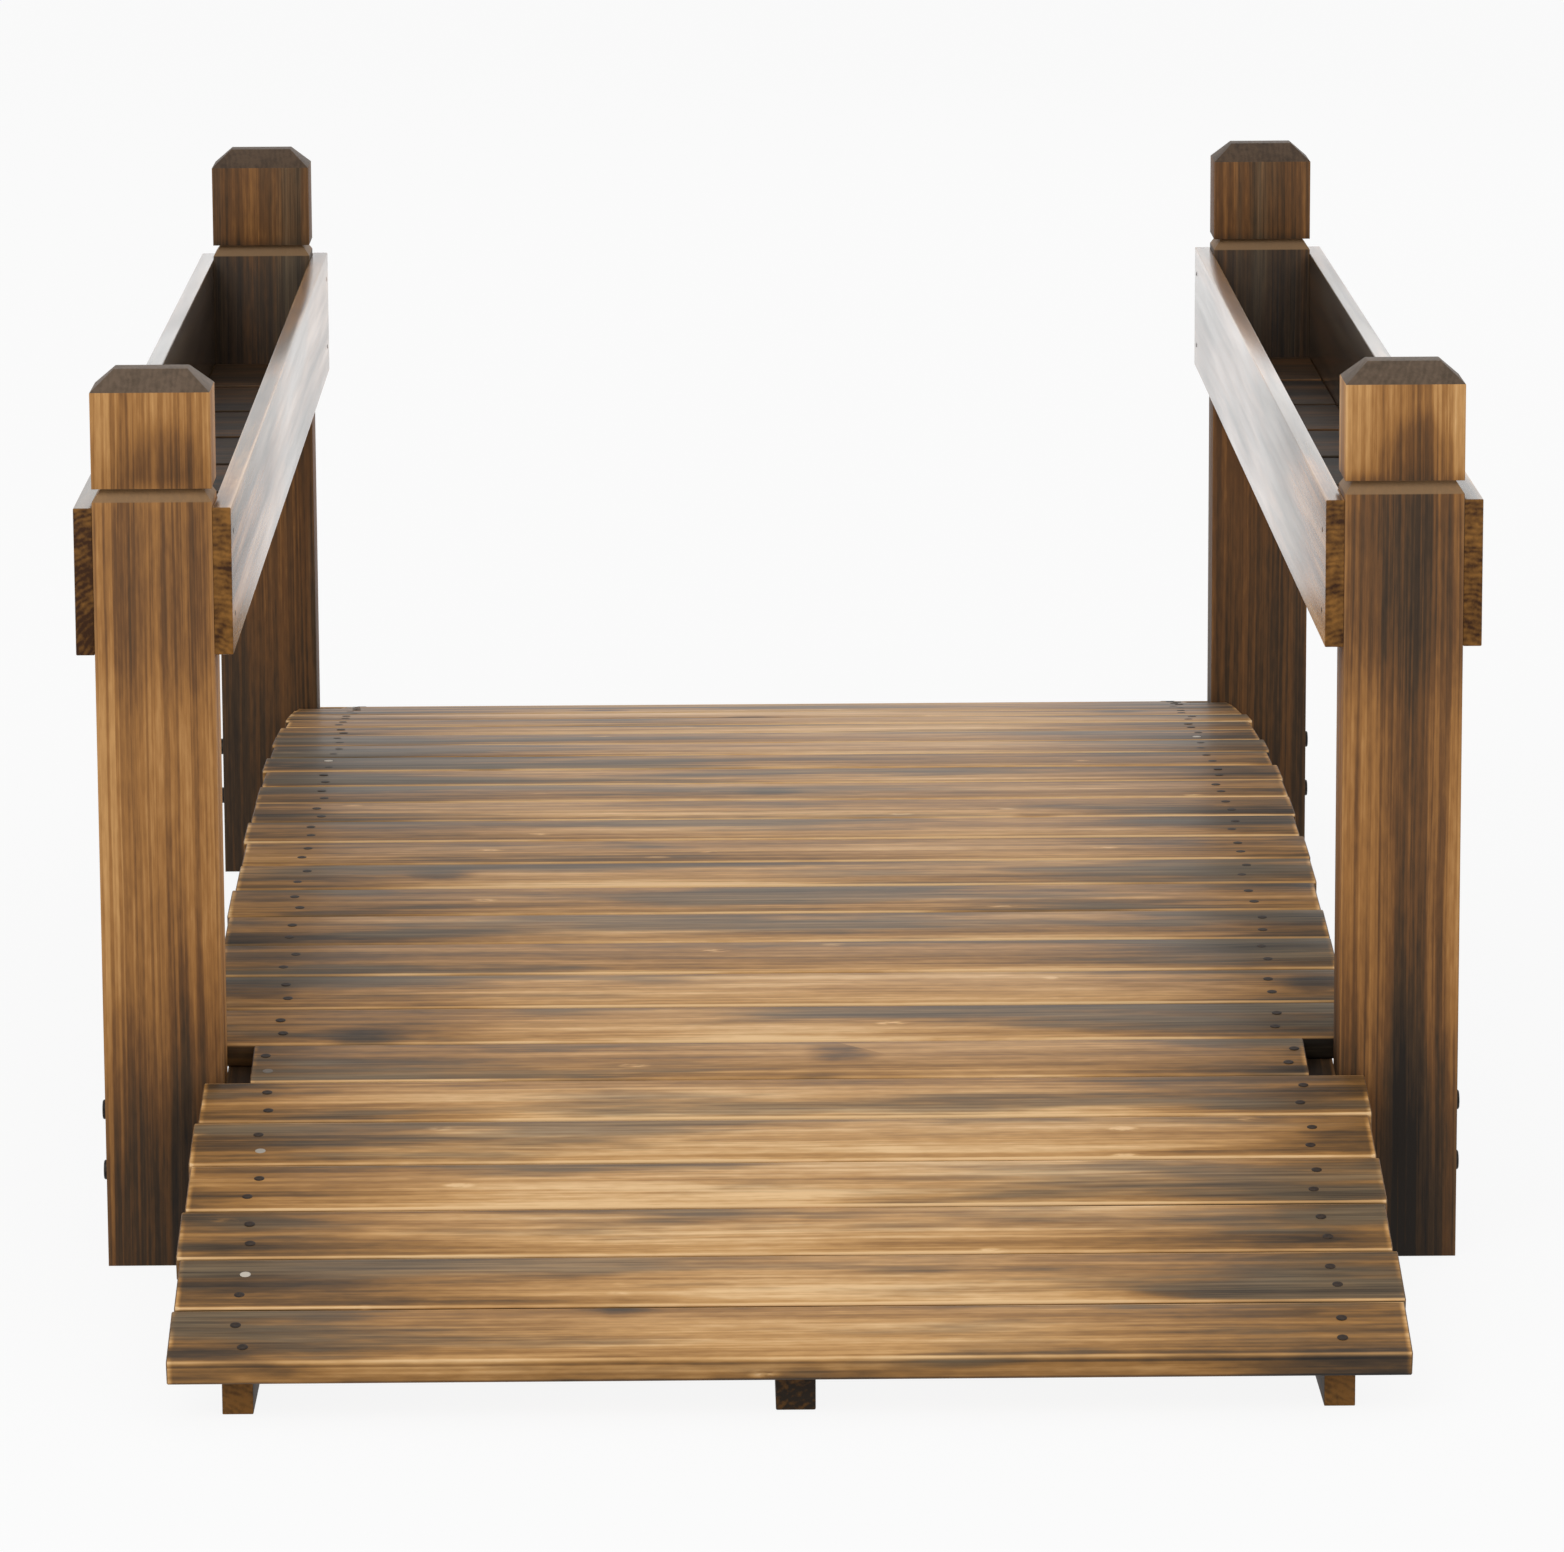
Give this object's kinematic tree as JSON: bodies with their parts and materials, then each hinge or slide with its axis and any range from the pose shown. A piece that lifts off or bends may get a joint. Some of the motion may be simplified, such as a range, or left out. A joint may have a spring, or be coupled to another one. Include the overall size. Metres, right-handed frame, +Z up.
{
  "type": "arched wooden garden footbridge with planter handrails",
  "caption": "Arched footbridge of torched fir: nailed slats on curved stringers, bolted posts, and open planter troughs between the posts as handrails.",
  "frame": {"origin": "on the ground, under the middle of the bridge", "axes": "+Z up, +Y along the walkway from the front ramp to the rear ramp, +X across it to the right"},
  "size_m": [0.67, 1.5264, 0.436],
  "materials": {
    "post_wood": "torched, satin stain",
    "stringer_wood": "torched, satin stain",
    "slat_wood": "torched, satin stain",
    "planter_wood": "torched, satin stain",
    "bolt_steel": "black oxide"
  },
  "bodies": {
    "root": {"front_left_post": "post_wood", "front_right_post": "post_wood", "rear_left_post": "post_wood", "rear_right_post": "post_wood", "left_side_rail": "stringer_wood", "right_side_rail": "stringer_wood", "front_left_stringer": "stringer_wood", "front_centre_stringer": "stringer_wood", "front_right_stringer": "stringer_wood", "middle_left_stringer": "stringer_wood", "middle_centre_stringer": "stringer_wood", "middle_right_stringer": "stringer_wood", "rear_left_stringer": "stringer_wood", "rear_centre_stringer": "stringer_wood", "rear_right_stringer": "stringer_wood", "front_ramp_slats": "slat_wood", "front_short_slat": "slat_wood", "middle_front_slats": "slat_wood", "middle_crown_slats": "slat_wood", "middle_rear_slats": "slat_wood", "rear_short_slat": "slat_wood", "rear_ramp_slats": "slat_wood", "left_planter_inner_board": "planter_wood", "left_planter_outer_board": "planter_wood", "left_planter_floor": "planter_wood", "right_planter_inner_board": "planter_wood", "right_planter_outer_board": "planter_wood", "right_planter_floor": "planter_wood", "front_left_bolts": "bolt_steel", "front_right_bolts": "bolt_steel", "rear_left_bolts": "bolt_steel", "rear_right_bolts": "bolt_steel"}
  },
  "joints": []
}
